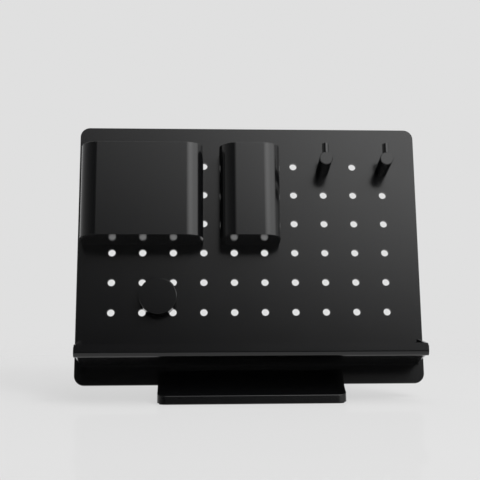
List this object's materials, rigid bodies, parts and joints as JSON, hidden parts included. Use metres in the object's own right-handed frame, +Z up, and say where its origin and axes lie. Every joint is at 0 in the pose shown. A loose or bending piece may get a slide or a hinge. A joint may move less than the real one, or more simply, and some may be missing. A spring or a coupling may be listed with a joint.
{
  "type": "pegboard desk organizer",
  "caption": "Leaning metal pegboard in a weighted base, with a folded ledge, D-shaped cups, pegs and a round magnet that pull off its face",
  "frame": {"origin": "middle of the underside of the non-slip pad, on the desk", "axes": "+X to the right along the board's width, +Y to the back, +Z up; the board leans back 14.7 degrees about X"},
  "size_m": [0.2854, 0.1317, 0.2257],
  "materials": {
    "base_coat": "satin black powder coat on cast iron",
    "board_coat": "satin black powder coat on sheet steel",
    "cup_coat": "smooth satin black coat",
    "pad_rubber": "fine matt non-slip rubber",
    "black_steel": "black oxide on steel",
    "bright_steel": "nickel plate"
  },
  "bodies": {
    "stand": {"base_casting": "base_coat", "base_pad": "pad_rubber", "board_panel": "board_coat", "ledge_tray": "board_coat", "base_screws": "black_steel", "ledge_screws": "black_steel", "ledge_nuts": "black_steel"},
    "large_cup": {"large_cup_sleeve": "cup_coat", "large_cup_floor": "cup_coat", "large_cup_studs": "bright_steel"},
    "small_cup": {"small_cup_sleeve": "cup_coat", "small_cup_floor": "cup_coat", "small_cup_studs": "bright_steel"},
    "left_peg": {"left_peg_body": "cup_coat", "left_peg_pin": "cup_coat", "left_peg_magnet": "bright_steel"},
    "right_peg": {"right_peg_body": "cup_coat", "right_peg_pin": "cup_coat", "right_peg_magnet": "bright_steel"},
    "puck": {"puck_body": "cup_coat", "puck_magnet": "bright_steel"}
  },
  "joints": [
    {"name": "large_cup_pull", "type": "slide", "parent": "stand", "child": "large_cup", "axis": [0, -0.9673, 0.2538], "range_m": [0, 0.015]},
    {"name": "small_cup_pull", "type": "slide", "parent": "stand", "child": "small_cup", "axis": [0, -0.9673, 0.2538], "range_m": [0, 0.015]},
    {"name": "left_peg_pull", "type": "slide", "parent": "stand", "child": "left_peg", "axis": [0, -0.9673, 0.2538], "range_m": [0, 0.02]},
    {"name": "right_peg_pull", "type": "slide", "parent": "stand", "child": "right_peg", "axis": [0, -0.9673, 0.2538], "range_m": [0, 0.02]},
    {"name": "puck_pull", "type": "slide", "parent": "stand", "child": "puck", "axis": [0, -0.9673, 0.2538], "range_m": [0, 0.02]}
  ]
}
